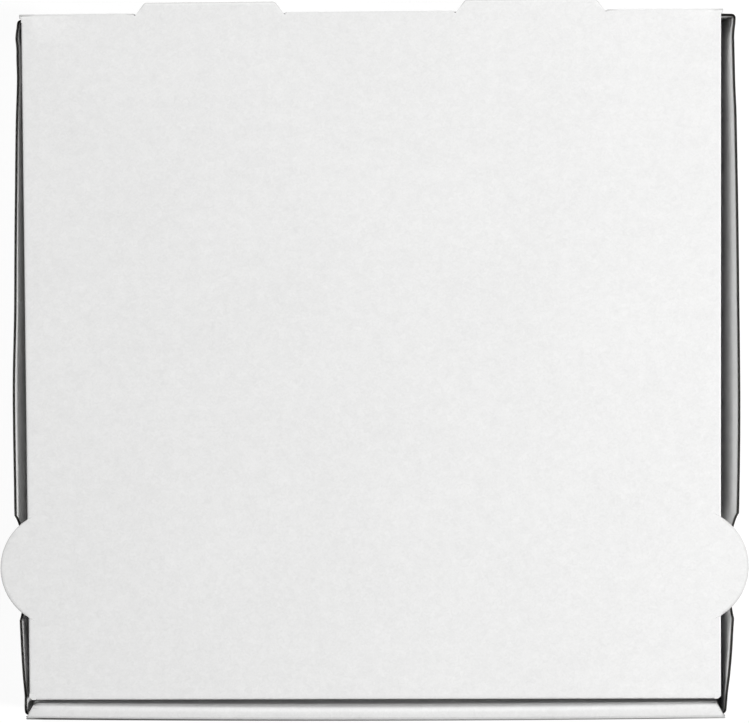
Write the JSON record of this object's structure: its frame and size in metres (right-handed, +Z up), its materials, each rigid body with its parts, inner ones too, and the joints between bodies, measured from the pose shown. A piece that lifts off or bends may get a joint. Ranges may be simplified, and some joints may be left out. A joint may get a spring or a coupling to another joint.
{
  "type": "pizza box",
  "caption": "Square corrugated pizza box folded from one sheet: a shallow tray with a rolled front wall and a hinged tuck-in lid with round side ears.",
  "frame": {"origin": "centre of the tray's underside", "axes": "+X to the right, +Y towards the hinge, +Z up"},
  "size_m": [0.3252, 0.313, 0.044],
  "materials": {
    "tray_board": "matt white corrugated board",
    "lid_board": "matt white corrugated board"
  },
  "bodies": {
    "tray": {"tray": "tray_board"},
    "lid": {"lid": "lid_board"}
  },
  "joints": [
    {"name": "lid_hinge", "type": "hinge", "parent": "tray", "child": "lid", "pos_m": [0, 0.15335, 0.04325], "axis": [-1, 0, 0], "range_deg": [0, 180]}
  ]
}
